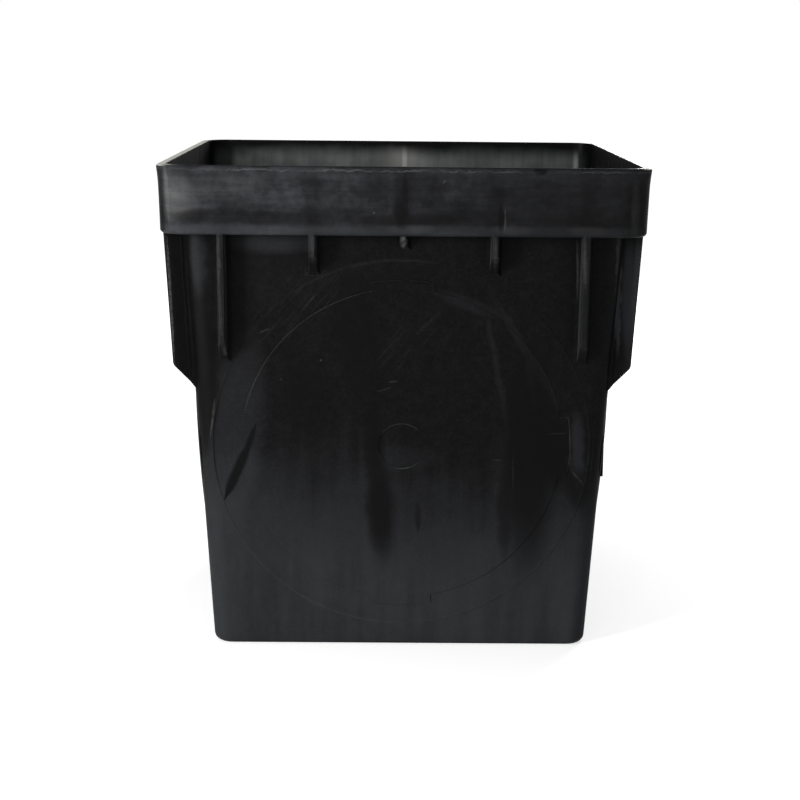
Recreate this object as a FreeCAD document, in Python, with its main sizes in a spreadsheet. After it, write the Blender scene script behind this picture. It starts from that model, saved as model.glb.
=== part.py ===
import FreeCAD, Part
import itertools
import math
import os
import Sketcher

# Square gully sump: one polypropylene moulding that stands on its floor.
# +Z is up, the origin is the middle of the underside, and the wall that faces -Y is the front.

# Driving dimensions, in millimetres and degrees.
SIZES = {
    "overall_height": 350,
    "body_top_width": 307,
    "wall_draft": 3.3,
    "body_wall": 3.5,
    "body_corner_radius": 14,
    "floor_thickness": 4,
    "base_edge_radius": 6,
    "floor_edge_chamfer": 6,
    "collar_height": 47,
    "shoulder_step": 14.5,
    "collar_draft": 1.7,
    "collar_wall": 5.5,
    "collar_corner_radius": 20,
    "collar_foot_radius": 2.5,
    "ledge_thickness": 6,
    "lip_height": 16,
    "lip_flare": 1.1,
    "rim_edge_radius": 2,
    "rib_thickness": 5.5,
    "rib_nose_chamfer": 1.2,
    "rib_root_flare": 2.5,
    "rib_setback": 0.3,
    "rib_end_angle": 45,
    "rib_bend_radius": 4,
    "front_rib_offset": 125,
    "front_rib_length": 91,
    "side_rib_offset": 135,
    "side_rib_length": 110,
    "medium_rib_offset": 62.5,
    "medium_rib_length": 29,
    "short_rib_length": 11,
    "short_rib_depth": 9,
    "ring_height": 151.5,
    "ring_edge_gap": 10.8,
    "ring_width": 2,
    "tab_gap": 14,
    "tab_reach": 6,
    "tab_width": 44,
    "centre_disc_radius": 16.5,
    "mark_height": 0.5,
    "mark_root": 1,
    "lug_offset": 126,
    "lug_width": 10,
    "lug_foot_height": 127,
    "lug_depth": 2.3,
    "cut_margin": 1,
}

# Dimensions that follow from the driving ones.
LAYOUT = {
    "wall_lean": "tan(sizes.wall_draft)",
    "collar_lean": "tan(sizes.collar_draft)",
    "shoulder_height": "sizes.overall_height - sizes.collar_height",
    "ledge_height": "layout.shoulder_height + sizes.ledge_thickness",
    "shoulder_half": "sizes.body_top_width / 2",
    "base_half": "layout.shoulder_half - layout.shoulder_height * layout.wall_lean",
    "chamber_radius": "sizes.body_corner_radius - sizes.body_wall",
    "chamber_floor_half": "layout.base_half + sizes.floor_thickness * layout.wall_lean - sizes.body_wall",
    "chamber_top": "layout.ledge_height + sizes.cut_margin",
    "chamber_top_half": "layout.base_half + layout.chamber_top * layout.wall_lean - sizes.body_wall",
    "foot_half": "layout.shoulder_half + sizes.shoulder_step",
    "face_half": "layout.foot_half + (sizes.collar_height - sizes.lip_height) * layout.collar_lean",
    "rim_half": "layout.foot_half + sizes.collar_height * layout.collar_lean + sizes.lip_flare",
    "lip_start": "sizes.overall_height - sizes.lip_height",
    "recess_half": "layout.foot_half + sizes.ledge_thickness * layout.collar_lean - sizes.collar_wall",
    "band_half": "layout.foot_half - sizes.collar_foot_radius - sizes.cut_margin",
    "collar_flat": "layout.foot_half - sizes.collar_corner_radius",
    "ledge_inset": "sizes.collar_foot_radius + sizes.cut_margin / 2",
    "ledge_half": "layout.foot_half - layout.ledge_inset",
    "ledge_radius": "sizes.collar_corner_radius - layout.ledge_inset",
    "rib_rise": "min(sizes.collar_foot_radius; sizes.ledge_thickness - sizes.cut_margin)",
    "rib_top": "layout.shoulder_height + layout.rib_rise",
    "rib_sink": "sizes.body_wall / 2",
    "rib_depth": "sizes.shoulder_step - sizes.rib_setback",
    "rib_half": "sizes.rib_thickness / 2",
    "rib_nose_half": "layout.rib_half - sizes.rib_nose_chamfer",
    "rib_root_half": "layout.rib_half + sizes.rib_root_flare",
    "ring_half": "layout.base_half + sizes.ring_height * layout.wall_lean",
    "ring_radius": "layout.ring_half - sizes.ring_edge_gap",
    "ring_root_half": "sizes.ring_width / 2 * (1 + sizes.mark_root / sizes.mark_height)",
    "tab_radius": "layout.ring_radius - sizes.tab_gap",
    "tab_half": "sizes.tab_width / 2",
    "panel_radius": "layout.tab_radius - sizes.tab_reach",
    "mark_plane": "layout.ring_half - sizes.mark_root * cos(sizes.wall_draft)",
    "mark_plane_height": "sizes.ring_height + sizes.mark_root * sin(sizes.wall_draft)",
    "mark_reach": "sizes.mark_root + sizes.mark_height",
    "lug_foot_half": "layout.base_half + sizes.lug_foot_height * layout.wall_lean",
    "lug_root": "layout.lug_foot_half - layout.rib_sink",
    "lug_face": "layout.lug_foot_half + sizes.lug_depth",
    "lug_tail": "layout.lug_face - layout.rib_sink",
    "lug_top": "sizes.lug_foot_height + sizes.lug_depth / layout.wall_lean",
    "lug_start": "sizes.lug_offset - sizes.lug_width / 2",
}

# Each kind of rib: where it stands across a wall, how deep it is, how many walls have it,
# and the turn about Z from the front wall to the first of those walls.
RIBS = {
    "front_rib": ((1, -1), "layout.rib_depth", 2, 0),
    "side_rib": ((1, -1), "layout.rib_depth", 2, 90),
    "medium_rib": ((1, -1), "layout.rib_depth", 4, 0),
    "short_rib": ((0,), "sizes.short_rib_depth", 4, 0),
}
for kind, (places, depth, walls, turn) in RIBS.items():
    LAYOUT |= {
        f"{kind}_nose": f"layout.shoulder_half + layout.rib_rise * layout.wall_lean + {depth}",
        f"{kind}_face": f"{depth} * cos(sizes.wall_draft)",
        f"{kind}_root": f"layout.{kind}_face - sizes.rib_root_flare",
        f"{kind}_back": f"layout.{kind}_face + layout.rib_sink",
        f"{kind}_drop": f"layout.rib_rise + sizes.{kind}_length",
        f"{kind}_toe_run": f"{depth} + layout.{kind}_drop * layout.wall_lean + layout.rib_sink",
        f"{kind}_toe_drop": f"layout.{kind}_drop + layout.rib_sink * tan(sizes.rib_end_angle)",
        f"{kind}_reach": f"layout.{kind}_toe_drop + 2 * sizes.cut_margin",
    }

doc = FreeCAD.newDocument("gully_sump")

sizes = doc.addObject("Spreadsheet::Sheet", "sizes")
for row, (alias, size) in enumerate(SIZES.items(), start=1):
    sizes.set(f"A{row}", alias)
    sizes.set(f"B{row}", str(size))
    sizes.setAlias(f"B{row}", alias)
doc.recompute()

layout = doc.addObject("App::VarSet", "layout")
for name, formula in LAYOUT.items():
    layout.addProperty("App::PropertyFloat", name)
    layout.setExpression(name, formula)
doc.recompute()


# Lengths under this count as nothing.
ROUNDING = 1e-4

X_AXIS = FreeCAD.Vector(1, 0, 0)
Z_AXIS = FreeCAD.Vector(0, 0, 1)


def number(path):
    """The present value of a dimension such as sizes.body_wall or layout.base_half."""
    holder, name = path.split(".")
    return float(getattr({"sizes": sizes, "layout": layout}[holder], name))


def new_body(name):
    body = doc.addObject("PartDesign::Body", name)
    body.Label = name
    return body


def origin(body, role):
    return next(feature for feature in body.Origin.OriginFeatures if feature.Role == role)


def spot(x, y):
    return FreeCAD.Vector(x, y, 0)


def line(start, end):
    return Part.LineSegment(start, end)


def circle(centre, radius):
    return Part.Circle(centre, Z_AXIS, radius)


def arc(centre, radius, start, end):
    """An anticlockwise arc between two angles in degrees."""
    return Part.ArcOfCircle(circle(centre, radius), math.radians(start), math.radians(end))


def attach(feature, body, plane, shift, tilt, hinge):
    """Puts a feature on an origin plane, shifted along the plane's axes and tilted about one of them."""
    feature.AttachmentSupport = [(origin(body, plane), "")]
    feature.MapMode = "FlatFace"
    tilted = FreeCAD.Rotation(hinge, 1)
    feature.AttachmentOffset = FreeCAD.Placement(FreeCAD.Vector(), tilted)
    for direction, formula in zip("xyz", shift):
        feature.setExpression(f"AttachmentOffset.Base.{direction}", formula)
    feature.setExpression("AttachmentOffset.Rotation.Angle", tilt)


def new_sketch(body, name, plane, shift=("0", "0", "0"), tilt="0", hinge=X_AXIS):
    sketch = body.newObject("Sketcher::SketchObject", name)
    attach(sketch, body, plane, shift, tilt, hinge)
    return sketch


def relate(sketch, kind, *parts):
    sketch.addConstraint(Sketcher.Constraint(kind, *parts))


def chain(sketch, pieces, joints):
    """Adds lines and arcs that run on from each other, and returns their indices.

    Each joint says how a piece meets the next, and a last one closes the run.
    Lines that are drawn level or upright stay so.
    """
    ids = sketch.addGeometry(pieces, False)
    for here, following, joint in zip(ids, ids[1:] + ids[:1], joints):
        for end, start in itertools.product((1, 2), repeat=2):
            if sketch.getPoint(here, end).isEqual(sketch.getPoint(following, start), ROUNDING):
                relate(sketch, joint, here, end, following, start)
                break
    for index, piece in zip(ids, pieces):
        if isinstance(piece, Part.LineSegment):
            run = piece.EndPoint - piece.StartPoint
            if abs(run.y) < ROUNDING:
                relate(sketch, "Horizontal", index)
            elif abs(run.x) < ROUNDING:
                relate(sketch, "Vertical", index)
    return ids


def bind(sketch, name, formula, kind, *parts):
    """Adds a dimension with the value that the sketch is drawn at, and ties it to the sheet."""
    if kind == "Radius":
        constraint = Sketcher.Constraint(kind, *parts, sketch.Geometry[parts[0]].Radius)
    elif kind == "Angle":
        run = sketch.getPoint(parts[0], 2) - sketch.getPoint(parts[0], 1)
        constraint = Sketcher.Constraint(kind, *parts, math.atan2(run.y, run.x))
    else:
        point = sketch.getPoint(*parts)
        constraint = Sketcher.Constraint(kind, -1, 1, *parts, point.x if kind == "DistanceX" else point.y)
    index = sketch.addConstraint(constraint)
    sketch.renameConstraint(index, name)
    sketch.setExpression(f"Constraints.{name}", formula)


def place(sketch, name, part, vertex, x, y):
    """Ties a point of the sketch to its distances from the sketch's origin."""
    bind(sketch, f"{name}_x", x, "DistanceX", part, vertex)
    bind(sketch, f"{name}_y", y, "DistanceY", part, vertex)


def centre_on_origin(sketch, part):
    relate(sketch, "Coincident", part, 3, -1, 1)


def draw_polygon(sketch, corners):
    """Straight lines round a list of corners, each given by formulas for its x and y."""
    points = [spot(*(float(sketch.evalExpression(formula)) for formula in corner)) for corner in corners]
    ids = sketch.addGeometry([line(*ends) for ends in zip(points, points[1:] + points[:1])], False)
    for here, following in zip(ids, ids[1:] + ids[:1]):
        relate(sketch, "Coincident", here, 2, following, 1)
    for index, (x, y) in zip(ids, corners):
        place(sketch, f"corner_{index}", index, 1, x, y)


def draw_rounded_square(sketch, half_width, radius):
    half, corner = number(half_width), number(radius)
    flat = half - corner
    bottom, lower_right, right, upper_right, top, upper_left, left, lower_left = chain(
        sketch,
        [
            line(spot(-flat, -half), spot(flat, -half)),
            arc(spot(flat, -flat), corner, 270, 360),
            line(spot(half, -flat), spot(half, flat)),
            arc(spot(flat, flat), corner, 0, 90),
            line(spot(flat, half), spot(-flat, half)),
            arc(spot(-flat, flat), corner, 90, 180),
            line(spot(-half, flat), spot(-half, -flat)),
            arc(spot(-flat, -flat), corner, 180, 270),
        ],
        ["Tangent"] * 8,
    )
    for other in (upper_right, upper_left, lower_left):
        relate(sketch, "Equal", lower_right, other)
    bind(sketch, "radius", radius, "Radius", lower_right)
    bind(sketch, "right", half_width, "DistanceX", right, 1)
    bind(sketch, "left", f"-{half_width}", "DistanceX", left, 1)
    bind(sketch, "top", half_width, "DistanceY", top, 1)
    bind(sketch, "bottom", f"-{half_width}", "DistanceY", bottom, 1)


def make_wedge(body, name, low, low_half, high, high_half):
    """A square block between two heights, whose sides lean evenly."""
    wedge = body.newObject("PartDesign::AdditiveWedge", name)
    attach(wedge, body, "XY_Plane", ("0", "0", "0"), "90", X_AXIS)
    ends = {"Ymin": low, "Ymax": high}
    for axis in "XZ":
        ends |= {f"{axis}min": f"-{low_half}", f"{axis}max": low_half}
        ends |= {f"{axis}2min": f"-{high_half}", f"{axis}2max": high_half}
    for end, formula in ends.items():
        wedge.setExpression(end, formula)
    doc.recompute()
    return wedge


def make_pad(body, name, sketch, length, reverse=False):
    pad = body.newObject("PartDesign::Pad", name)
    pad.Profile = sketch
    pad.Reversed = reverse
    pad.setExpression("Length", length)
    doc.recompute()
    return pad


def make_turn(body, name, sketch, axis, angle):
    turn = body.newObject("PartDesign::Revolution", name)
    turn.Profile = sketch
    turn.ReferenceAxis = (sketch, [axis])
    turn.Angle = angle
    doc.recompute()
    return turn


def make_fillet(body, name, edges, radius):
    fillet = body.newObject("PartDesign::Fillet", name)
    fillet.Base = (fillet.BaseFeature, edges)
    fillet.setExpression("Radius", radius)
    doc.recompute()
    return fillet


def make_chamfer(body, name, edges, size):
    chamfer = body.newObject("PartDesign::Chamfer", name)
    chamfer.Base = (chamfer.BaseFeature, edges)
    chamfer.setExpression("Size", size)
    doc.recompute()
    return chamfer


def make_pattern(body, originals, walls):
    pattern = body.newObject("PartDesign::PolarPattern", f"{originals[0].Name}_set")
    pattern.Originals = originals
    pattern.Axis = (origin(body, "Z_Axis"), [""])
    pattern.Angle = 360
    pattern.Occurrences = walls
    body.Tip = pattern
    doc.recompute()


def corner_edges(shape):
    """The edges that climb along the square's diagonals."""
    return [
        f"Edge{index}"
        for index, edge in enumerate(shape.Edges, start=1)
        if edge.BoundBox.ZLength > ROUNDING
        and all(abs(abs(vertex.X) - abs(vertex.Y)) < ROUNDING for vertex in edge.Vertexes)
    ]


def level_edges(shape, height):
    """The edges that lie wholly at one height."""
    return [
        f"Edge{index}"
        for index, edge in enumerate(shape.Edges, start=1)
        if abs(edge.BoundBox.ZMin - height) < ROUNDING and abs(edge.BoundBox.ZMax - height) < ROUNDING
    ]


def check_cut(feature):
    if feature.Shape.Volume >= feature.BaseFeature.Shape.Volume:
        raise RuntimeError(f"{feature.Name} removes nothing")


def combine(body, name, kind, others):
    joint = body.newObject("PartDesign::Boolean", name)
    joint.Type = kind
    joint.setObjects(others)
    doc.recompute()
    return joint


def rounded_wedge(body, name, low, high, halves, corner_radius):
    """A square block that leans out as it rises, with round corners. Returns the names of its lower edges."""
    wedge = make_wedge(body, name, low, halves[0], high, halves[1])
    corners = make_fillet(body, f"{name}_corners", corner_edges(wedge.Shape), corner_radius)
    return level_edges(corners.Shape, wedge.Ymin.Value)


def block(body):
    """The chamber's outer form, still solid, and the level shelf on it that carries a grate."""
    halves = ("layout.base_half", "layout.shoulder_half")
    lower = rounded_wedge(body, "block", "0", "layout.shoulder_height", halves, "sizes.body_corner_radius")
    make_fillet(body, "block_foot", lower, "sizes.base_edge_radius")
    sketch = new_sketch(body, "ledge_outline", "XY_Plane", ("0", "0", "layout.shoulder_height"))
    draw_rounded_square(sketch, "layout.ledge_half", "layout.ledge_radius")
    doc.recompute()
    make_pad(body, "ledge", sketch, "sizes.ledge_thickness")


def hollow(body):
    """The inside of the chamber, open through the shelf, which leaves an even wall and a chamfered floor."""
    inside = new_body("chamber_inside")
    low, high = "sizes.floor_thickness", "layout.chamber_top"
    halves = ("layout.chamber_floor_half", "layout.chamber_top_half")
    lower = rounded_wedge(inside, "inside", low, high, halves, "layout.chamber_radius")
    make_chamfer(inside, "inside_foot", lower, "sizes.floor_edge_chamfer")
    check_cut(combine(body, "hollow", "Cut", [inside]))


def collar_section(body):
    """Section of the collar at the right-hand end of its front, with the axis of the corner beyond it.

    Its foot is rounded, its face leans out, and its lip flares in an arc to a rounded rim.
    """
    sketch = new_sketch(body, "collar_section", "YZ_Plane", ("0", "0", "layout.collar_flat"))
    low, high = number("layout.shoulder_height"), number("sizes.overall_height")
    shelf = number("layout.ledge_height")
    inner, recess = number("layout.band_half"), number("layout.recess_half")
    foot_radius, edge_radius = number("sizes.collar_foot_radius"), number("sizes.rim_edge_radius")
    draft = number("sizes.collar_draft")
    out = spot(-math.cos(math.radians(draft)), -math.sin(math.radians(draft)))
    foot = spot(-number("layout.foot_half"), low)
    rim = spot(-number("layout.rim_half"), high)
    face_end = spot(-number("layout.face_half"), number("layout.lip_start"))
    recess_top = recess + (high - shelf) * number("layout.collar_lean")

    # The foot's arc touches the underside and the face. The lip's arc leaves the face and aims at the rim.
    foot_centre = spot(foot.x + foot_radius * (1 + out.y) / -out.x, low + foot_radius)
    to_rim = rim - face_end
    flare_radius = to_rim.dot(to_rim) / (2 * to_rim.dot(out))
    flare_centre = face_end + out * flare_radius
    rise = high - edge_radius - flare_centre.y
    edge_run = math.sqrt((flare_radius + edge_radius) ** 2 - rise**2)
    edge_centre = spot(flare_centre.x + edge_run, high - edge_radius)
    flare_angle = math.degrees(math.atan2(rise, edge_run))

    underside, foot_arc, face, flare, rim_edge, rim_top, recess_face, shelf_top, heel = chain(
        sketch,
        [
            line(spot(-inner, low), spot(foot_centre.x, low)),
            arc(foot_centre, foot_radius, 180 + draft, 270),
            line(foot_centre + out * foot_radius, face_end),
            arc(flare_centre, flare_radius, draft, flare_angle),
            arc(edge_centre, edge_radius, 90, 180 + flare_angle),
            line(spot(edge_centre.x, high), spot(-recess_top, high)),
            line(spot(-recess_top, high), spot(-recess, shelf)),
            line(spot(-recess, shelf), spot(-inner, shelf)),
            line(spot(-inner, shelf), spot(-inner, low)),
        ],
        ["Tangent"] * 5 + ["Coincident"] * 4,
    )
    foot_corner = sketch.addGeometry(Part.Point(foot), True)
    rim_corner = sketch.addGeometry(Part.Point(rim), True)
    flat = number("layout.collar_flat")
    axis = sketch.addGeometry(line(spot(-flat, low), spot(-flat, high)), True)
    relate(sketch, "PointOnObject", foot_corner, 1, face)
    relate(sketch, "PointOnObject", rim_corner, 1, flare)
    relate(sketch, "Parallel", face, recess_face)
    bind(sketch, "foot_radius", "sizes.collar_foot_radius", "Radius", foot_arc)
    bind(sketch, "edge_radius", "sizes.rim_edge_radius", "Radius", rim_edge)
    bind(sketch, "rim_height", "sizes.overall_height", "DistanceY", rim_top, 1)
    place(sketch, "foot", foot_corner, 1, "-layout.foot_half", "layout.shoulder_height")
    place(sketch, "rim", rim_corner, 1, "-layout.rim_half", "sizes.overall_height")
    place(sketch, "lip", face, 2, "-layout.face_half", "layout.lip_start")
    place(sketch, "recess", recess_face, 2, "-layout.recess_half", "layout.ledge_height")
    place(sketch, "heel", heel, 2, "-layout.band_half", "layout.shoulder_height")
    place(sketch, "axis_foot", axis, 1, "-layout.collar_flat", "layout.shoulder_height")
    place(sketch, "axis_head", axis, 2, "-layout.collar_flat", "sizes.overall_height")
    doc.recompute()
    return sketch


def collar(body):
    """The collar round the mouth: a straight side and a turned corner of one section, four times."""
    section = collar_section(body)
    side = make_pad(body, "collar_side", section, "2 * layout.collar_flat", reverse=True)
    corner = make_turn(body, "collar_corner", section, "Axis0", 90)
    make_pattern(body, [side, corner], 4)


def draw_rib_section(sketch, kind, side):
    """Section of a rib across its length: a chamfered nose, parallel sides, and roots that flare to the wall.

    The nose is on the sketch's x axis and the wall is towards y.
    """
    half_section = [
        ("layout.rib_nose_half", "0"),
        ("layout.rib_half", "sizes.rib_nose_chamfer"),
        ("layout.rib_half", f"layout.{kind}_root"),
        ("layout.rib_root_half", f"layout.{kind}_face"),
        ("layout.rib_root_half", f"layout.{kind}_back"),
    ]
    middle = f"{side} * sizes.{kind}_offset" if side else "0"
    right = [(f"{middle} + {x}", y) for x, y in half_section]
    left = [(f"{middle} - {x}", y) for x, y in reversed(half_section)]
    draw_polygon(sketch, right + left)


def rib_end(body, kind):
    """Side view of what is cut off a rib's lower end, to leave a slope with a rounded bend above it.

    It is drawn from the upper end of the nose, with x towards the wall.
    """
    sketch = new_sketch(body, f"{kind}_end", "YZ_Plane", (f"-layout.{kind}_nose", "layout.rib_top", "0"))
    draft, slope = number("sizes.wall_draft"), number("sizes.rib_end_angle")
    bend, margin = number("sizes.rib_bend_radius"), number("sizes.cut_margin")
    down = spot(math.sin(math.radians(draft)), -math.cos(math.radians(draft)))
    inward = spot(math.cos(math.radians(slope)), -math.sin(math.radians(slope)))
    toe = spot(number(f"layout.{kind}_toe_run"), -number(f"layout.{kind}_toe_drop"))
    bottom = -number(f"layout.{kind}_reach") - margin
    along = (toe.x * down.y - toe.y * down.x) / (inward.x * down.y - inward.y * down.x)
    corner = toe - inward * along
    reach = bend * math.tan(math.radians(90 - draft - slope) / 2)
    bend_start = corner - down * reach
    nose_line = sketch.addGeometry(line(spot(0, 0), bend_start), True)
    bend_arc, end, back, floor, outside = chain(
        sketch,
        [
            arc(bend_start + spot(-down.y, down.x) * bend, bend, 180 + draft, 270 - slope),
            line(corner + inward * reach, toe),
            line(toe, spot(toe.x, bottom)),
            line(spot(toe.x, bottom), spot(-margin, bottom)),
            line(spot(-margin, bottom), bend_start),
        ],
        ["Tangent"] + ["Coincident"] * 4,
    )
    relate(sketch, "Coincident", nose_line, 1, -1, 1)
    relate(sketch, "Tangent", nose_line, 2, bend_arc, 1)
    bind(sketch, "nose_angle", "-90 + sizes.wall_draft", "Angle", nose_line)
    bind(sketch, "bend", "sizes.rib_bend_radius", "Radius", bend_arc)
    bind(sketch, "end_angle", "-sizes.rib_end_angle", "Angle", end)
    place(sketch, "toe", end, 2, f"layout.{kind}_toe_run", f"-layout.{kind}_toe_drop")
    place(sketch, "outside", floor, 2, "-sizes.cut_margin", f"-layout.{kind}_reach - sizes.cut_margin")
    doc.recompute()
    return sketch


def rib_set(kind, places, walls, turn):
    """All the ribs of one kind: drawn on the front wall, run down it, cut to a slope, and set round."""
    body = new_body(f"{kind}s")
    shift = ("0", f"-layout.{kind}_nose", "layout.rib_top")
    section = new_sketch(body, f"{kind}_section", "XY_Plane", shift, "sizes.wall_draft")
    for side in places:
        draw_rib_section(section, kind, side)
    doc.recompute()
    rib = make_pad(body, kind, section, f"layout.{kind}_reach", reverse=True)
    slope = body.newObject("PartDesign::Pocket", f"{kind}_slope")
    slope.Profile = rib_end(body, kind)
    slope.Type = "ThroughAll"
    slope.SideType = "Symmetric"
    doc.recompute()
    check_cut(slope)
    make_pattern(body, [rib, slope], walls)
    body.Placement = FreeCAD.Placement(FreeCAD.Vector(), FreeCAD.Rotation(turn, 0, 0))
    return body


def ribs(body):
    """Gussets between the collar and the walls: long ones near the corners, shorter ones between."""
    sets = [rib_set(kind, places, walls, turn) for kind, (places, depth, walls, turn) in RIBS.items()]
    combine(body, "ribs", "Fuse", sets)


def draw_panel(sketch):
    """The outline of a round panel with a straight-sided tab above, below and at each side."""
    radius, tab_radius = number("layout.panel_radius"), number("layout.tab_radius")
    half = number("layout.tab_half")
    run, tab_run = math.sqrt(radius**2 - half**2), math.sqrt(tab_radius**2 - half**2)
    angle, tab_angle = math.degrees(math.atan2(half, run)), math.degrees(math.atan2(half, tab_run))
    pieces = []
    for turn in range(0, 360, 90):
        rotation = FreeCAD.Rotation(turn, 0, 0)
        pieces += [
            arc(spot(0, 0), tab_radius, turn - tab_angle, turn + tab_angle),
            line(rotation * spot(tab_run, half), rotation * spot(run, half)),
            arc(spot(0, 0), radius, turn + angle, turn + 90 - angle),
            line(rotation * spot(half, run), rotation * spot(half, tab_run)),
        ]
    ids = chain(sketch, pieces, ["Coincident"] * len(pieces))
    tabs, rounds, sides = ids[0::4], ids[2::4], ids[1::2]
    for arcs in (tabs, rounds):
        for part in arcs:
            centre_on_origin(sketch, part)
        for other in arcs[1:]:
            relate(sketch, "Equal", arcs[0], other)
    bind(sketch, "panel", "layout.panel_radius", "Radius", rounds[0])
    bind(sketch, "tab", "layout.tab_radius", "Radius", tabs[0])
    for side in sides:
        start, end = sketch.getPoint(side, 1), sketch.getPoint(side, 2)
        level = abs(start.y - end.y) < ROUNDING
        sign = "" if (start.y if level else start.x) > 0 else "-"
        bind(sketch, f"side_{side}", f"{sign}layout.tab_half", "DistanceY" if level else "DistanceX", side, 1)


def outlet_ring(body):
    """A ridge round the outlet panel, turned about the wall's own normal.

    Its section is drawn with x up the wall and y out of it.
    """
    shift = ("-layout.ring_half", "sizes.ring_height", "0")
    sketch = new_sketch(body, "ring_section", "YZ_Plane", shift, "90 + sizes.wall_draft", Z_AXIS)
    draw_polygon(
        sketch,
        [
            ("layout.ring_radius - layout.ring_root_half", "-sizes.mark_root"),
            ("layout.ring_radius + layout.ring_root_half", "-sizes.mark_root"),
            ("layout.ring_radius", "sizes.mark_height"),
        ],
    )
    doc.recompute()
    return make_turn(body, "outlet_ring", sketch, "V_Axis", 360)


def outlet_panel(body):
    """A raised panel with a sunk disc at its middle, where a pipe's hole is started."""
    shift = ("0", "layout.mark_plane_height", "layout.mark_plane")
    sketch = new_sketch(body, "panel_outline", "XZ_Plane", shift, "sizes.wall_draft")
    draw_panel(sketch)
    disc = sketch.addGeometry(circle(spot(0, 0), number("sizes.centre_disc_radius")), False)
    centre_on_origin(sketch, disc)
    bind(sketch, "centre_disc", "sizes.centre_disc_radius", "Radius", disc)
    doc.recompute()
    return make_pad(body, "outlet_panel", sketch, "layout.mark_reach")


def outlet_marks(body):
    """The marks on each wall that show where to cut it for a pipe."""
    make_pattern(body, [outlet_ring(body), outlet_panel(body)], 4)


def lug(body):
    """A wedge on the right-hand wall near the front corner, blunt below and flush with the wall above."""
    sketch = new_sketch(body, "lug_outline", "XZ_Plane", ("0", "0", "layout.lug_start"))
    draw_polygon(
        sketch,
        [
            ("layout.lug_root", "sizes.lug_foot_height"),
            ("layout.lug_face", "sizes.lug_foot_height"),
            ("layout.lug_face", "layout.lug_top"),
            ("layout.lug_tail", "layout.lug_top"),
        ],
    )
    doc.recompute()
    make_pad(body, "lug", sketch, "sizes.lug_width")


sump = new_body("sump_body")
block(sump)
hollow(sump)
collar(sump)
ribs(sump)
outlet_marks(sump)
lug(sump)

failed = [item.Name for item in doc.Objects if {"Invalid", "Error"} & set(item.State)]
if failed:
    raise RuntimeError(f"failed: {failed}")
if sump.Shape.isNull() or not sump.Shape.isValid() or len(sump.Shape.Solids) != 1:
    raise RuntimeError("the moulding is not one valid solid")

os.makedirs("parts", exist_ok=True)
sump.Shape.exportStep(f"parts/{sump.Label}.step")
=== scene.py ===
import math

import bpy
from mathutils import Matrix, Vector

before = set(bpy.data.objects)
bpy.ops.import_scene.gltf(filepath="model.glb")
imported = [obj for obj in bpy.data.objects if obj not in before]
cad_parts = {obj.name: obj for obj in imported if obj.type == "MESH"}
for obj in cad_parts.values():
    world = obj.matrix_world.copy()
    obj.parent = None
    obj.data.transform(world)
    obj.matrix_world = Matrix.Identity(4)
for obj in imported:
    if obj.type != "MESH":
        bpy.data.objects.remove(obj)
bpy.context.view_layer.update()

# The looks of a black plastic gully sump that stands on a white floor.
# Lengths are metres in the frame's axes: +Z up, -Y towards the camera.
# Lengths on the plastic itself, such as its marks, are millimetres.

MM = 0.001
IMAGE_SIZE = 800

# The camera, as fitted to the outline of the object.
FOCAL_PIXELS = 1729.93
SENSOR_MM = 36.0
CAMERA_PLACE = Vector((-13.10, -1343.02, 428.33)) * MM
CAMERA_PITCH = math.radians(11.48)
CAMERA_YAW = math.radians(-0.558)
CAMERA_ROLL = math.radians(0.556)

# Faces of the solid that carry marks, in millimetres and degrees.
WALL_FOOT = 136.03
WALL_DRAFT = 3.3
SIDE_RIB_FACE = 138.0
COLLAR_FOOT = 168.0
COLLAR_DRAFT = 1.7
SHOULDER_HEIGHT = 303.0
LEDGE_HEIGHT = 309.0
TOP_HEIGHT = 350.0
RIB_SPACING = 62.5

# Shading: how far a crevice reaches, how round an edge looks, the rays spent on each,
# the share of the outlet marks' relief that shows, and how much the plastic shines.
CREVICE_REACH = 18.0
EDGE_ROUNDING = 0.9
SHADING_RAYS = 4
MARK_RELIEF = 0.35
GLOSS = 0.03

# Light level, where 1 shows a white card as white.
WORLD_LEVEL = 0.1
FLOOR_COLOUR = 0.7
FLOOR_GLOW = 0.6
FLOOR_REACH = 12.0
# The floor's glow rises to white between these distances from the middle.
GLOW_NEAR = 0.7
GLOW_FAR = 1.8

# Lamps: name, place, size and power in watts. All of them face one spot in the object.
LAMP_TARGET = (0, 0, 0.2)
LAMPS = [
    ("key_lamp", (-1.05, -0.95, 0.42), (0.4, 0.5), 19),
    ("fill_lamp", (1.3, -0.8, 0.4), (0.3, 0.6), 1.5),
    ("front_lamp", (-0.35, -1.6, 0.7), (0.8, 0.5), 5),
    ("top_lamp", (-0.2, -0.1, 1.9), (1.2, 1.2), 9),
    ("back_lamp", (0.7, 1.5, 0.9), (1.0, 0.8), 24),
]

# Colours of the plastic and of what lies on it, in linear light.
PLASTIC = (0.0036, 0.0036, 0.0038)
FILM = (0.078, 0.082, 0.089)
# HAZE also paints the highlight on the collar's left end and corners.
HAZE = (0.146, 0.145, 0.143)
SILT = (0.180, 0.197, 0.192)
SCRAPE = (0.090, 0.090, 0.091)
# DUST also paints highlights on the silt inside, and the reflection on the tops of the side rims.
DUST = (0.50, 0.49, 0.45)

# Pale dust and painted highlights on the silt inside, across the object: a run near the middle, and a
# painted highlight in the right-hand corner.
DUST_AND_GLINT_RUN = 3.5
CORNER_GLINT = 151.5
# The tops of the side rims, dusty and painted pale for their reflection, end between these distances from
# the middle.
SIDE_TOP_END = 158.0
FRONT_TOP_START = 166.0
HATCH_SLANT = math.radians(50)
HATCH_STRENGTH = 0.13
# What is left of the colour under painted shade: on the flank of the left rib, and on the corners of the
# collar.
FLANK_SHADE = 0.35
CORNER_SHADE = 0.3
# Relief in the material, in millimetres: fine grain and the waves of a moulded wall.
GRAIN_HEIGHT = 0.02
WAVE_HEIGHT = 0.5

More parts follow.
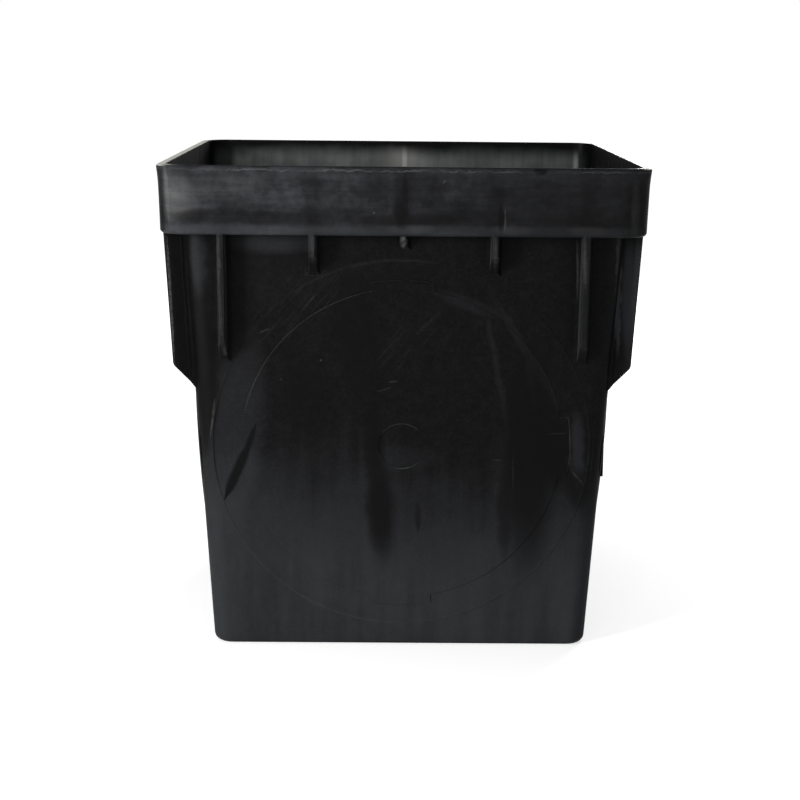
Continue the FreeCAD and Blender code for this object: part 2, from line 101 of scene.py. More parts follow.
# Marks: how far out one ends and how far in it is full, in half widths. A smudge's are squared.
STROKE_END = 1.5
STROKE_FULL = 0.5
SMUDGE_END = 1.5
SMUDGE_FULL = 0.1
# The share of a stroke's width that is left at its points, and the bulge at which it has full width.
STROKE_POINT = 0.2
STROKE_BULGE = 0.225
# How far noise pushes the outlines about, in millimetres.
CRISP_SHIFT = 1.2
RAGGED_SHIFT = 6.0

# Marks on the front, as seen in the image: two ends, half the width in millimetres, and the strength.
# Stains are bare dark plastic in the film, and gouges are the same with a hard outline.
# Haze is pale and soft, and some of it is painted light: highlights on corners and edges, and a lit band.
# Scrapes are thin and light.
# Lines are worn stretches of the edges of the outlet marks.
# Hatches are places with bundles of fine scratches. The rib marks are painted highlights on the front
# edges of ribs.
# The side ribs are the outer ribs of the left and right walls, of which the front shows the flanks, with
# painted highlights on their edges.
WALL_STAINS = [
    ((372, 396), (376, 500), 7.0, 0.75),
    ((379, 470), (382, 546), 11.0, 0.9),
    ((530, 370), (528, 550), 20.0, 0.85),
    ((508, 460), (505, 550), 7.0, 0.7),
    ((550, 425), (553, 476), 13.0, 0.85),
    ((575, 478), (578, 498), 8.0, 0.7),
    ((211, 365), (203, 446), 8.0, 0.9),
    ((300, 370), (312, 430), 16.0, 0.5),
    ((350, 300), (372, 380), 18.0, 0.6),
    ((203, 330), (209, 372), 10.0, 0.8),
]
WALL_GOUGES = [
    ((256, 424), (239, 472), 2.2, 0.9),
    ((250, 442), (225, 499), 3.5, 0.95),
    ((418, 503), (418, 532), 2.0, 0.6),
]
WALL_HAZE_AND_HIGHLIGHTS = [
    ((242, 365), (222, 510), 22.0, 0.10),
    ((495, 300), (556, 402), 3.5, 0.05),
    ((440, 294), (500, 316), 5.0, 0.05),
    ((486, 310), (510, 440), 2.5, 0.05),
    ((526, 345), (536, 410), 2.5, 0.05),
    ((577, 418), (578, 480), 5.0, 0.12),
    ((386, 457), (428, 458), 9.0, 0.04),
    ((250, 280), (330, 262), 24.0, 0.01),
    # The last three are painted light: a lit band just under the collar, and painted highlights down the
    # body's left and right corners.
    ((240, 238), (312, 238), 11.0, 0.17),
    ((197, 234), (199, 285), 6.5, 0.13),
    ((620.5, 236), (619.5, 350), 3.2, 0.50),
]
WALL_SCRAPES = [
    ((389, 382), (397, 381), 0.6, 0.20),
    ((377, 392), (392, 387), 0.5, 0.14),
    ((569.5, 417), (570.5, 470), 0.5, 0.22),
    ((571, 470), (583, 484), 0.6, 0.20),
    ((546, 434), (568, 433), 0.4, 0.10),
    ((493, 460), (502, 460), 0.5, 0.14),
    ((513, 454), (513, 491), 0.4, 0.09),
    ((259, 333), (271, 328), 0.5, 0.20),
    ((320, 360), (322, 360), 0.7, 0.30),
    ((280, 379), (282, 379), 0.7, 0.30),
    ((215, 398), (210, 438), 0.7, 0.25),
]
WALL_LINES = [
    ((345, 300), (300, 327), 5.0, 0.30),
    ((300, 327), (272, 356), 5.0, 0.35),
    ((272, 356), (246, 405), 5.0, 0.35),
    ((290, 283), (345, 262), 6.0, 0.28),
    ((345, 262), (430, 264), 6.0, 0.28),
    ((245, 540), (330, 610), 8.0, 0.45),
    ((330, 610), (390, 625), 8.0, 0.40),
    ((390, 625), (545, 560), 10.0, 0.25),
    ((498, 310), (536, 352), 5.0, 0.22),
    ((536, 352), (562, 410), 5.0, 0.25),
    ((383, 430), (402, 421), 4.0, 0.60),
    ((400, 421), (420, 426), 4.0, 0.50),
    ((384, 456), (406, 468), 4.0, 0.50),
    ((570, 416), (571, 471), 4.0, 0.60),
]
WALL_HATCHES = [
    ((262, 330), (330, 282), 18.0, 1.0),
    ((380, 366), (426, 320), 14.0, 0.9),
    ((245, 318), (264, 296), 8.0, 0.7),
]
COLLAR_STAINS = [
    ((405, 172), (405, 224), 2.5, 0.7),
    ((400, 204), (401, 221), 6.0, 0.8),
    ((355, 220), (465, 220), 4.0, 0.5),
    ((385, 192), (430, 192), 15.0, 0.25),
    ((172, 166), (186, 166), 7.0, 0.3),
    ((180, 217), (208, 215), 5.0, 0.6),
    ((245, 218), (285, 219), 5.0, 0.5),
    ((501, 205), (501, 231), 2.0, 0.7),
    ((537, 170), (544, 171), 3.0, 0.9),
]
# The first is a painted highlight down the left corner and the third down the right; those along the foot
# are painted sheen.
COLLAR_HAZE_AND_HIGHLIGHTS = [
    ((164, 170), (168, 219), 2.4, 0.45),
    ((190, 184), (255, 184), 7.0, 0.08),
    ((637, 186), (636, 238), 3.5, 0.08),
    ((392, 229), (430, 229), 3.5, 0.08),
    ((495, 230), (530, 230), 3.5, 0.06),
    ((573, 231), (602, 232), 3.5, 0.05),
]
COLLAR_SCRAPES = [
    ((443, 183.5), (446, 180), 0.6, 0.45),
    ((373, 213), (375, 213), 0.7, 0.40),
    ((505, 209), (505, 232), 0.5, 0.30),
    ((170, 189), (242, 191), 0.5, 0.15),
    ((172, 194), (230, 194), 0.5, 0.12),
    ((180, 198), (242, 199), 0.5, 0.12),
]
# Painted highlights on the lit front edges of the ribs.
RIB_EDGE_HIGHLIGHTS = [
    ((217.5, 236), (219, 285), 1.6, 0.26),
    ((219, 280), (221.5, 345), 1.1, 0.18),
    ((223.5, 350), (224, 357), 1.5, 0.30),
    ((312, 236), (312.5, 262), 1.3, 0.20),
    ((403, 237), (403.5, 247), 2.2, 0.95),
    ((495, 238), (495.5, 270), 1.5, 0.26),
    ((579.5, 240), (580, 300), 0.8, 0.26),
    ((585, 240), (585.5, 288), 1.5, 0.27),
]
# Painted highlights along the edges of the right side rib.
SIDE_RIB_HIGHLIGHTS = [
    ((630, 238), (627, 345), 5.0, 0.26),
    ((638, 238), (633, 345), 3.0, 0.30),
]
# Painted highlights along the outer edges of both side ribs.
SIDE_RIB_EDGE_HIGHLIGHTS = [
    ((167, 236), (174, 358), 0.9, 0.45),
    ((641, 238), (636, 345), 0.8, 0.30),
]


def camera_axes():
    """The camera's right, up and forward directions."""
    level = Vector((math.cos(CAMERA_YAW), math.sin(CAMERA_YAW), 0))
    ahead = Vector((-math.sin(CAMERA_YAW), math.cos(CAMERA_YAW), 0))
    above = Vector((0, 0, 1))
    forward = ahead * math.cos(CAMERA_PITCH) - above * math.sin(CAMERA_PITCH)
    upright = ahead * math.sin(CAMERA_PITCH) + above * math.cos(CAMERA_PITCH)
    right = level * math.cos(CAMERA_ROLL) + upright * math.sin(CAMERA_ROLL)
    up = upright * math.cos(CAMERA_ROLL) - level * math.sin(CAMERA_ROLL)
    return right, up, forward


def make_camera():
    right, up, forward = camera_axes()
    data = bpy.data.cameras.new("camera")
    data.sensor_width = SENSOR_MM
    data.lens = FOCAL_PIXELS / IMAGE_SIZE * SENSOR_MM
    camera = bpy.data.objects.new("camera", data)
    bpy.context.scene.collection.objects.link(camera)
    turn = Matrix((right, up, -forward)).transposed().to_4x4()
    camera.matrix_world = Matrix.Translation(CAMERA_PLACE) @ turn
    bpy.context.scene.camera = camera


def seen_on(pixel, foot, draft, base=0.0):
    """Where a pixel's line of sight meets a front face, as x and z in millimetres.

    The face stands foot millimetres in front of the origin at the height base, and leans out by draft.
    """
    right, up, forward = camera_axes()
    across = (pixel[0] - IMAGE_SIZE / 2) / FOCAL_PIXELS
    drop = (pixel[1] - IMAGE_SIZE / 2) / FOCAL_PIXELS
    ray = forward + right * across - up * drop
    start = CAMERA_PLACE / MM
    lean = math.tan(math.radians(draft))
    reach = (-foot - (start.z - base) * lean - start.y) / (ray.y + ray.z * lean)
    point = start + ray * reach
    return point.x, point.z


def on_wall(*pixel):
    return seen_on(pixel, WALL_FOOT, WALL_DRAFT)


def on_side_rib(*pixel):
    return seen_on(pixel, SIDE_RIB_FACE, 0.0)


def on_collar(*pixel):
    return seen_on(pixel, COLLAR_FOOT, COLLAR_DRAFT, SHOULDER_HEIGHT)


class Graph:
    """Adds nodes to one shader tree, with a short function for each kind of sum."""

    def __init__(self, tree):
        self.tree = tree
        tree.nodes.clear()

    def add(self, kind, inputs=(), **settings):
        made = self.tree.nodes.new(kind)
        for name, setting in settings.items():
            setattr(made, name, setting)
        for key, source in dict(inputs).items():
            if isinstance(source, bpy.types.NodeSocket):
                self.tree.links.new(source, made.inputs[key])
            else:
                made.inputs[key].default_value = source
        return made

    def sum(self, operation, *terms):
        return self.add("ShaderNodeMath", enumerate(terms), operation=operation).outputs[0]

    def times(self, *factors):
        product = factors[0]
        for factor in factors[1:]:
            product = self.sum("MULTIPLY", product, factor)
        return product

    def plus(self, *terms):
        total = terms[0]
        for term in terms[1:]:
            total = self.sum("ADD", total, term)
        return total

    def most(self, terms):
        largest = terms[0]
        for term in terms[1:]:
            largest = self.sum("MAXIMUM", largest, term)
        return largest

    def vector(self, operation, *terms):
        made = self.add("ShaderNodeVectorMath", enumerate(terms), operation=operation)
        scalar = operation in ("DOT_PRODUCT", "LENGTH", "DISTANCE")
        return made.outputs["Value" if scalar else "Vector"]

    def scale(self, vector, factor):
        inputs = {"Vector": vector, "Scale": factor}
        return self.add("ShaderNodeVectorMath", inputs, operation="SCALE").outputs[0]

    def ramp(self, source, start, end, low=0.0, high=1.0):
        """Runs smoothly from low at start to high at end."""
        inputs = {"Value": source, "From Min": start, "From Max": end, "To Min": low, "To Max": high}
        return self.add("ShaderNodeMapRange", inputs, interpolation_type="SMOOTHSTEP").outputs[0]

    def noise(self, place, size, stretch=(1, 1, 1), detail=3.0, roughness=0.55):
        """Noise from 0 to 1, in lumps of about that size in millimetres, longer along a stretched axis."""
        squeezed = self.vector("MULTIPLY", place, tuple(1 / (size * factor) for factor in stretch))
        inputs = {"Vector": squeezed, "Scale": 1.0, "Detail": detail, "Roughness": roughness}
        return self.add("ShaderNodeTexNoise", inputs).outputs[0]

    def blend(self, amount, first, second):
        inputs = {"Factor": amount, 6: first, 7: second}
        return self.add("ShaderNodeMix", inputs, data_type="RGBA").outputs[2]

    def blend_vector(self, amount, first, second):
        return self.add("ShaderNodeMix", {0: amount, 4: first, 5: second}, data_type="VECTOR").outputs[1]

    def blend_number(self, amount, first, second):
        return self.add("ShaderNodeMix", {0: amount, 2: first, 3: second}, data_type="FLOAT").outputs[0]

    def stroke(self, flat, start, end, half_width, strength):
        """A mark with a clear outline between two places on a flat pattern, pointed at both ends."""
        start, end = Vector((*start, 0)), Vector((*end, 0))
        along = end - start
        offset = self.vector("SUBTRACT", flat, start)
        share = self.vector("DOT_PRODUCT", offset, along / along.length_squared)
        share = self.add("ShaderNodeClamp", {"Value": share}).outputs[0]
        away = self.vector("DISTANCE", offset, self.scale(tuple(along), share))
        bulge = self.times(share, self.sum("SUBTRACT", 1.0, share))
        width = self.ramp(bulge, 0.0, STROKE_BULGE, STROKE_POINT * half_width, half_width)
        return self.ramp(self.sum("DIVIDE", away, width), STROKE_END, STROKE_FULL, 0.0, strength)

    def smudge(self, flat, start, end, half_width, strength):
        """A mark between two places on a flat pattern, strongest in its middle and soft all round."""
        start, end = Vector((*start, 0)), Vector((*end, 0))
        along = (end - start).normalized()
        aside = Vector((-along.y, along.x, 0))
        half_length = (end - start).length / 2 + half_width
        offset = self.vector("SUBTRACT", flat, (start + end) / 2)
        lengthwise = self.vector("DOT_PRODUCT", offset, along / half_length)
        crosswise = self.vector("DOT_PRODUCT", offset, aside / half_width)
        away = self.sum("MULTIPLY_ADD", lengthwise, lengthwise, self.times(crosswise, crosswise))
        return self.ramp(away, SMUDGE_END, SMUDGE_FULL, 0.0, strength)

    def marks(self, flat, shape, listed, place):
        """The strongest of the listed marks, each in that shape and placed by its pixels."""
        masks = [
            shape(flat, place(*start), place(*end), half_width, strength)
            for start, end, half_width, strength in listed
        ]
        return self.most(masks)

    def split(self, vector):
        return self.add("ShaderNodeSeparateXYZ", {"Vector": vector}).outputs

    def seen(self):
        """1 for what the camera, a reflection or a clear material sees, and 0 for all other light."""
        path = self.add("ShaderNodeLightPath").outputs
        return self.most([path["Is Camera Ray"], path["Is Glossy Ray"], path["Is Transmission Ray"]])


def colour(rgb):
    return (*rgb, 1.0)


def make_world():
    """White where it is seen, and a plain level where it only lights things."""
    world = bpy.data.worlds.new("world")
    bpy.context.scene.world = world
    world.use_nodes = True
    graph = Graph(world.node_tree)
    level = graph.ramp(graph.seen(), 0, 1, WORLD_LEVEL, 1.0)
    shader = graph.add("ShaderNodeBackground", {"Color": colour((1, 1, 1)), "Strength": level})
    graph.add("ShaderNodeOutputWorld", {"Surface": shader.outputs[0]})


def make_floor():
    """A pale floor that glows enough to look white, and still takes the object's shadow."""
    mesh = bpy.data.meshes.new("floor")
    corners = [(x * FLOOR_REACH, y * FLOOR_REACH, 0) for x, y in ((-1, -1), (1, -1), (1, 1), (-1, 1))]
    mesh.from_pydata(corners, [], [(0, 1, 2, 3)])
    floor = bpy.data.objects.new("floor", mesh)
    bpy.context.scene.collection.objects.link(floor)
    material = bpy.data.materials.new("pale_floor")
    material.use_nodes = True
    graph = Graph(material.node_tree)
    diffuse = graph.add("ShaderNodeBsdfDiffuse", {"Color": colour([FLOOR_COLOUR] * 3)})
    place = graph.add("ShaderNodeNewGeometry").outputs["Position"]
    level = graph.ramp(graph.vector("LENGTH", place), GLOW_NEAR, GLOW_FAR, FLOOR_GLOW, 1.0)
    glow = graph.add("ShaderNodeEmission", {"Strength": graph.times(graph.seen(), level)})
    both = graph.add("ShaderNodeAddShader", {0: diffuse.outputs[0], 1: glow.outputs[0]})
    graph.add("ShaderNodeOutputMaterial", {"Surface": both.outputs[0]})
    mesh.materials.append(material)


def make_lamp(name, place, size, power):
    data = bpy.data.lights.new(name, "AREA")
    data.shape = "RECTANGLE"
    data.size, data.size_y = size
    data.energy = power
    lamp = bpy.data.objects.new(name, data)
    bpy.context.scene.collection.objects.link(lamp)
    lamp.location = place
    aim = Vector(LAMP_TARGET) - Vector(place)
    lamp.rotation_euler = aim.to_track_quat("-Z", "Y").to_euler()


def make_lights():
    for name, place, size, power in LAMPS:
        make_lamp(name, place, size, power)


class Surface:
    """What the material needs to know about the spot that is shaded. Lengths are in millimetres."""

    def __init__(self, graph):
        coordinates = graph.add("ShaderNodeTexCoord").outputs
        self.place = graph.scale(coordinates["Object"], 1 / MM)
        self.x, self.y, self.z = graph.split(self.place)
        self.right, self.back, self.up = graph.split(coordinates["Normal"])
        self.deep = graph.sum("ABSOLUTE", self.y)
        outward = graph.plus(graph.times(self.right, self.x), graph.times(self.back, self.y))
        self.outer = graph.ramp(outward, -20, 20)
        facing_in = graph.ramp(outward, -20, -60)
        self.inner = graph.times(facing_in, graph.ramp(self.z, LEDGE_HEIGHT, LEDGE_HEIGHT + 1))
        self.chamber = graph.times(facing_in, graph.ramp(self.z, LEDGE_HEIGHT, LEDGE_HEIGHT - 1))
        self.front = graph.times(graph.ramp(self.y, -100, -120), graph.ramp(self.back, -0.5, -0.8))
        self.collar = graph.ramp(self.z, SHOULDER_HEIGHT - 0.5, SHOULDER_HEIGHT + 0.5)
        self.below = graph.sum("SUBTRACT", 1.0, self.collar)
        # How far the wall stands from the middle at this height, and how far this spot stands out from it.
        self.wall = graph.plus(WALL_FOOT, graph.times(self.z, math.tan(math.radians(WALL_DRAFT))))
        farther = graph.sum("MAXIMUM", graph.sum("ABSOLUTE", self.x), self.deep)
        self.out = graph.sum("SUBTRACT", farther, self.wall)
        turn_aside = graph.sum("ABSOLUTE", self.right)
        turn_along = graph.sum("ABSOLUTE", self.back)
        sideways = graph.sum("GREATER_THAN", turn_aside, turn_along)
        self.across = graph.blend_number(sideways, self.x, self.y)
        # Crevices, which get painted shade and keep wear off concave edges, and the rounding that a
        # moulded edge has.
        shade = graph.add(
            "ShaderNodeAmbientOcclusion",
            {"Distance": CREVICE_REACH * MM},
            samples=SHADING_RAYS,
            only_local=True,
        )
        self.open = shade.outputs["AO"]
        bevel = graph.add("ShaderNodeBevel", {"Radius": EDGE_ROUNDING * MM}, samples=SHADING_RAYS)
        rounded = bevel.outputs[0]
        flat_normal = graph.add("ShaderNodeNewGeometry").outputs["True Normal"]
        turn = graph.vector("DOT_PRODUCT", rounded, flat_normal)
        self.edge = graph.times(graph.ramp(turn, 0.995, 0.92), graph.ramp(self.open, 0.6, 0.85))
        # The outlet marks are low and worn round, so the wall is shaded as if they were lower still.
        flat_back = graph.vector("MULTIPLY", rounded, (MARK_RELIEF, 1, MARK_RELIEF))
        flat_side = graph.vector("MULTIPLY", rounded, (1, MARK_RELIEF, MARK_RELIEF))
        flattened = graph.blend_vector(sideways, flat_back, flat_side)
        from_corner = graph.sum("SUBTRACT", self.wall, graph.sum("ABSOLUTE", self.across))
        on_marks = graph.times(
            self.outer,
            self.below,
            graph.ramp(self.out, 3.0, 1.5),
            graph.ramp(from_corner, 12, 18),
        )
        self.normal = graph.vector("NORMALIZE", graph.blend_vector(on_marks, rounded, flattened))
        # The front as a flat pattern: true, and with places pushed about so that outlines are ragged.
        wobble = graph.sum("SUBTRACT", graph.noise(self.place, 9, detail=4), 0.5)
        self.crisp = self.pattern(graph, graph.times(wobble, CRISP_SHIFT))
        self.ragged = self.pattern(graph, graph.times(wobble, RAGGED_SHIFT))

    def pattern(self, graph, shift):
        return graph.add("ShaderNodeCombineXYZ", {"X": graph.plus(self.x, shift), "Y": self.z}).outputs[0]


def body_film(graph, here):
    """Dust that dried on the lower walls, with a soft upper edge of vertical runs, and pale specks."""
    runs = graph.noise(here.place, 13, (1, 1, 14), detail=5, roughness=0.6)
    clouds = graph.noise(here.place, 55, detail=4)
    lift = graph.plus(
        graph.times(graph.sum("SUBTRACT", runs, 0.5), 90),
        graph.times(graph.sum("SUBTRACT", clouds, 0.5), 90),
    )
    higher = graph.ramp(here.x, 10, -70, 0, -12)
    settled = graph.ramp(graph.plus(here.z, lift, higher), 156, 46)
    amount = graph.times(
        settled,
        graph.ramp(runs, 0.35, 0.65, 0.20, 0.28),
        graph.ramp(clouds, 0.3, 0.7, 0.9, 1.1),
    )
    # Pale patches: haze, and painted highlights on the body's corners and along the side ribs.
    patches = graph.most(
        [
            graph.marks(here.ragged, graph.smudge, WALL_HAZE_AND_HIGHLIGHTS, on_wall),
            graph.marks(here.crisp, graph.smudge, SIDE_RIB_HIGHLIGHTS, on_side_rib),
        ]
    )
    haze = graph.times(here.front, patches)
    specks = graph.ramp(graph.noise(here.place, 2.0, detail=3, roughness=0.7), 0.40, 0.70, 0.0, 0.035)
    mottle = graph.ramp(graph.noise(here.place, 7, detail=4, roughness=0.6), 0.40, 0.70, 0.0, 0.02)
    return graph.plus(amount, haze, specks, mottle)


def rib_film(graph, here):
    """Wear on the outer edges of the ribs, which stand out from the wall under the collar."""
    return graph.times(graph.ramp(here.out, 8.0, 12.5, 0.0, 0.055), here.below)


def painted_shade_flank(graph, here):
    """Painted shade on the flank of the outer rib on the left, beside the body's corner."""
    beside = graph.sum("SUBTRACT", graph.times(here.x, -1), here.wall)
    facing = graph.times(graph.ramp(here.back, -0.3, -0.7), graph.ramp(here.y, -90, -110))
    above_end = graph.ramp(here.z, 188, 200)
    return graph.times(graph.ramp(beside, -7.0, -3.0), facing, here.below, above_end)


def collar_film(graph, here):
    """Grime on the collar: drag lines along it, a pale band of painted sheen at its foot, and bands of
    less film over the ribs, painted shade for their sink marks.
    """
    drags = graph.noise(here.place, 3.2, (14, 14, 1), detail=4)
    clouds = graph.noise(here.place, 24, (1.4, 1.4, 1), detail=5, roughness=0.6)
    mottle = graph.noise(here.place, 4.5, detail=4, roughness=0.6)
    amount = graph.times(
        graph.ramp(here.x, 165, -165, 0.07, 0.30),
        graph.ramp(clouds, 0.3, 0.7, 0.5, 1.5),
        graph.ramp(drags, 0.3, 0.7, 0.8, 1.2),
        graph.ramp(mottle, 0.3, 0.7, 0.75, 1.25),
    )
    # Painted shade over the ribs, where their sink marks show.
    rib_gap = graph.sum("PINGPONG", here.across, RIB_SPACING / 2)
    bands = graph.ramp(rib_gap, 1.5, 9, 0.65, 1.0)
    lower = graph.ramp(here.z, SHOULDER_HEIGHT + 24, SHOULDER_HEIGHT + 13, 1.0, 0.6)
    upper = graph.ramp(here.z, TOP_HEIGHT - 13, TOP_HEIGHT - 4, 0.0, 0.07)
    # Painted sheen along the rounded foot of the collar.
    foot_gap = graph.sum("ABSOLUTE", graph.sum("SUBTRACT", here.z, SHOULDER_HEIGHT + 3.5))
    foot = graph.times(graph.ramp(foot_gap, 6.0, 1.0), graph.ramp(here.x, 150, -165, 0.08, 0.23))
    return graph.plus(graph.times(amount, bands, lower), upper, foot)


def corner_highlight_and_haze(graph, here):
    """Painted highlight on the rounded left end of the collar's front, dragged along it, and small patches
    elsewhere: haze, and painted highlights and sheen on its corners and foot.
    """
    wisps = graph.ramp(graph.noise(here.place, 7, (3, 3, 1), detail=5), 0.3, 0.65, 0.6, 1.1)
    end = graph.times(
        graph.ramp(here.x, -136, -151),
        graph.ramp(here.z, SHOULDER_HEIGHT + 6, SHOULDER_HEIGHT + 18),
        graph.ramp(here.z, TOP_HEIGHT - 3, TOP_HEIGHT - 15),
        0.30,
    )
    patches = graph.marks(here.crisp, graph.smudge, COLLAR_HAZE_AND_HIGHLIGHTS, on_collar)
    return graph.times(here.front, here.collar, wisps, graph.most([end, patches]))


def painted_shade_corner(graph, here):
    """Painted shade on the corners of the collar, where they turn to the sides."""
    turned = graph.ramp(graph.sum("ABSOLUTE", here.right), 0.62, 0.88)
    return graph.times(turned, graph.ramp(here.deep, 152, 158), here.collar, here.outer)


def hatching(graph, here):
    """Bundles of fine parallel scratches that rise to the right."""
    level, rise = math.cos(HATCH_SLANT), math.sin(HATCH_SLANT)
    along = graph.plus(graph.times(here.x, level), graph.times(here.z, rise))
    aside = graph.plus(graph.times(here.z, level), graph.times(here.x, -rise))
    turned = graph.add("ShaderNodeCombineXYZ", {"X": along, "Y": aside}).outputs[0]
    lines = graph.ramp(graph.noise(turned, 1.3, (28, 1, 1), detail=2), 0.56, 0.7)
    places = graph.marks(here.ragged, graph.smudge, WALL_HATCHES, on_wall)
    return graph.times(lines, places, HATCH_STRENGTH)


def scuffs(graph, here):
    """Light wear and painted highlights: front scrapes and scratches, rib edge highlights, worn edges
    painted lit, and the rim's chipped edge with a highlight along it.
    """
    broken = graph.ramp(graph.noise(here.place, 2.5, detail=3), 0.3, 0.6, 0.3, 1.0)
    scrapes = graph.most(
        [
            graph.marks(here.crisp, graph.stroke, WALL_SCRAPES, on_wall),
            graph.marks(here.crisp, graph.stroke, COLLAR_SCRAPES, on_collar),
            graph.marks(here.crisp, graph.stroke, SIDE_RIB_EDGE_HIGHLIGHTS, on_side_rib),
            graph.times(here.below, graph.marks(here.crisp, graph.smudge, RIB_EDGE_HIGHLIGHTS, on_collar)),
            hatching(graph, here),
        ]
    )
    worn = graph.ramp(graph.noise(here.place, 26, detail=5), 0.4, 0.62, 0.06, 0.4)
    worn = graph.times(worn, graph.ramp(here.out, 2, 5, 0.04, 1.0))
    lines = graph.times(here.front, graph.marks(here.crisp, graph.smudge, WALL_LINES, on_wall))
    # Worn edges, also painted lighter as highlights on convex edges.
    edges = graph.times(here.edge, graph.most([worn, lines]))
    # The chipped edge of the rim, with a painted highlight along it.
    wave = graph.times(graph.sum("SUBTRACT", graph.noise(here.place, 5, detail=3), 0.5), 4.2)
    rim = graph.sum("ABSOLUTE", graph.sum("SUBTRACT", graph.plus(here.z, wave), TOP_HEIGHT - 2.5))
    chips = graph.ramp(graph.noise(here.place, 17, detail=3), 0.38, 0.55, 0.15, 1.0)
    fresh = graph.times(
        graph.ramp(here.x, 120, 0, 0.25, 0.55),
        graph.ramp(here.x, -155, -105, 0.3, 1.0),
    )
    chipped = graph.times(graph.ramp(rim, 0.75, 0.2), chips, fresh, here.outer)
    return graph.most([graph.times(here.front, broken, scrapes), edges, chipped])


def silt(graph, here):
    """Silt on the inside of the collar's back wall, with none just under the rim or in the corners, where
    painted shade stands instead.

    Gives the amount of silt, and of the paler dust on it with painted highlights, near the middle and in
    the right-hand corner.
    """
    cling = graph.noise(here.place, 6, (1, 1, 7), detail=5)
    clouds = graph.noise(here.place, 30, detail=3)
    # Painted shade: no silt in a band just under the rim.
    under_rim = graph.ramp(graph.plus(here.z, graph.times(clouds, 10)), TOP_HEIGHT + 3, TOP_HEIGHT - 12)
    back_wall = graph.times(here.inner, under_rim, graph.ramp(here.back, -0.4, -0.9))
    amount = graph.times(
        back_wall,
        graph.ramp(cling, 0.25, 0.7, 0.7, 1.0),
        graph.ramp(clouds, 0.3, 0.7, 0.75, 1.2),
        # Painted shade: less silt towards both corners.
        graph.ramp(here.x, -147, -140, 0.22, 1.0),
        graph.ramp(here.x, 155, 152, 0.1, 1.0),
        graph.ramp(here.x, 120, -120, 0.5, 0.95),
    )
    from_run = graph.sum("ABSOLUTE", graph.sum("SUBTRACT", here.x, DUST_AND_GLINT_RUN))
    from_corner = graph.sum("ABSOLUTE", graph.sum("SUBTRACT", here.x, CORNER_GLINT))
    # Pale dust with painted highlights: a run near the middle and a line in the right-hand corner.
    pale = graph.most(
        [
            graph.ramp(from_run, 26, 3, 0.0, 0.28),
            graph.ramp(from_run, 4.6, 0.6, 0.0, 0.65),
            graph.ramp(from_corner, 2.6, 0.8, 0.0, 0.22),
        ]
    )
    return amount, graph.times(back_wall, pale)


def chamber_silt(graph, here):
    """Dried silt in the chamber: runs on its walls, thicker lower down, and a layer on ledge and floor."""
    runs = graph.noise(here.place, 11, (1, 1, 9), detail=4)
    clouds = graph.noise(here.place, 22, detail=4)
    depth = graph.ramp(here.z, LEDGE_HEIGHT, 0, 0.7, 1.3)
    walls = graph.times(here.chamber, depth, graph.ramp(runs, 0.3, 0.7, 0.12, 0.34))
    facing_up = graph.ramp(here.up, 0.6, 0.9)
    under_collar = graph.ramp(here.z, LEDGE_HEIGHT + 4, LEDGE_HEIGHT + 2)
    layer = graph.times(facing_up, under_collar, graph.ramp(clouds, 0.3, 0.7, 0.3, 0.8))
    return graph.most([walls, layer])


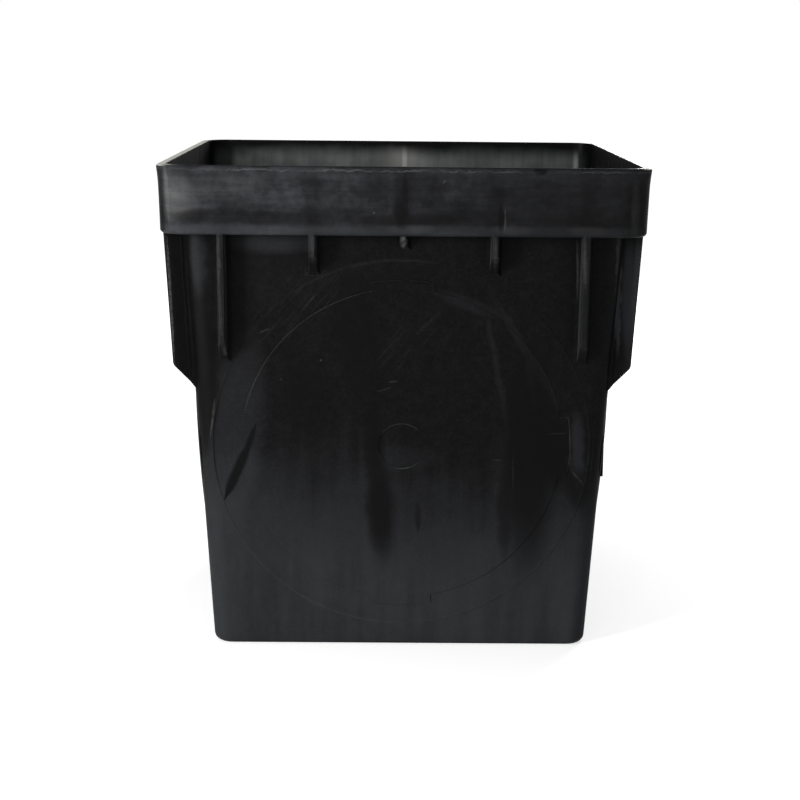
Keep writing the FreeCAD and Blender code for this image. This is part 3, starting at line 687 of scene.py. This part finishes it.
def make_plastic():
    """Satin black polypropylene with a dusty film, haze, scratches and scuffs, and silt inside, and
    painted shade and highlights.
    """
    material = bpy.data.materials.new("black_plastic_worn")
    material.use_nodes = True
    graph = Graph(material.node_tree)
    here = Surface(graph)

    stains = graph.most(
        [
            graph.marks(here.ragged, graph.smudge, WALL_STAINS, on_wall),
            graph.marks(here.crisp, graph.stroke, WALL_GOUGES, on_wall),
            graph.marks(here.crisp, graph.smudge, COLLAR_STAINS, on_collar),
        ]
    )
    clean = graph.sum("SUBTRACT", 1.0, graph.times(here.front, stains))
    film = graph.blend_number(here.collar, body_film(graph, here), collar_film(graph, here))
    film = graph.times(graph.plus(graph.times(film, clean), rib_film(graph, here)), here.outer)
    base = graph.blend(film, colour(PLASTIC), colour(FILM))
    # Painted shade on the flank of the left outer rib.
    base = graph.scale(base, graph.ramp(painted_shade_flank(graph, here), 0, 1, 1.0, FLANK_SHADE))
    # Painted highlight on the collar's left end and corners, with some haze.
    base = graph.blend(graph.times(clean, corner_highlight_and_haze(graph, here)), base, colour(HAZE))
    # Painted shade on the corners of the collar.
    base = graph.scale(base, graph.ramp(painted_shade_corner(graph, here), 0, 1, 1.0, CORNER_SHADE))
    base = graph.blend(scuffs(graph, here), base, colour(SCRAPE))
    silted, dust_and_glints = silt(graph, here)
    base = graph.blend(graph.most([silted, chamber_silt(graph, here)]), base, colour(SILT))
    # Pale dust with painted highlights on the silt inside.
    base = graph.blend(dust_and_glints, base, colour(DUST))

    facing_up = graph.ramp(here.up, 0.3, 0.8)
    top = graph.times(facing_up, graph.ramp(here.z, TOP_HEIGHT - 3, TOP_HEIGHT - 1.5))
    # The tops of the side rims: dust, and painted pale for their reflection.
    side_top_dust_and_reflection = graph.times(top, graph.ramp(here.deep, FRONT_TOP_START, SIDE_TOP_END), 0.8)
    base = graph.blend(side_top_dust_and_reflection, base, colour(DUST))
    # Painted shade: the colour darkens in crevices and corners.
    base = graph.scale(base, graph.ramp(here.open, 0.35, 0.9, 0.4, 1.0))

    grain = graph.noise(here.place, 0.7, detail=2)
    waves = graph.noise(here.place, 38, detail=2)
    height = graph.plus(graph.times(grain, GRAIN_HEIGHT), graph.times(waves, WAVE_HEIGHT))
    bump = graph.add(
        "ShaderNodeBump",
        {"Strength": 0.5, "Distance": MM, "Height": height, "Normal": here.normal},
    )
    polish = graph.ramp(graph.noise(here.place, 14, detail=4), 0.25, 0.75, 0.32, 0.46)
    front_top = graph.times(top, graph.ramp(here.deep, SIDE_TOP_END, FRONT_TOP_START))
    gloss = graph.times(
        graph.ramp(front_top, 0, 1, GLOSS, 0.0),
        graph.ramp(graph.sum("ABSOLUTE", here.right), 0.4, 0.9, 1.0, 0.3),
    )
    shader = graph.add(
        "ShaderNodeBsdfPrincipled",
        {
            "Base Color": base,
            "Roughness": graph.plus(polish, graph.times(film, 0.25)),
            "Specular IOR Level": gloss,
            "Normal": bump.outputs[0],
        },
    )
    graph.add("ShaderNodeOutputMaterial", {"Surface": shader.outputs[0]})
    return material


def dress():
    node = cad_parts["sump_body"]
    plastic = make_plastic()
    for slot in node.material_slots:
        slot.material = plastic


bpy.context.scene.view_settings.view_transform = "Standard"
make_camera()
make_world()
make_floor()
make_lights()
dress()
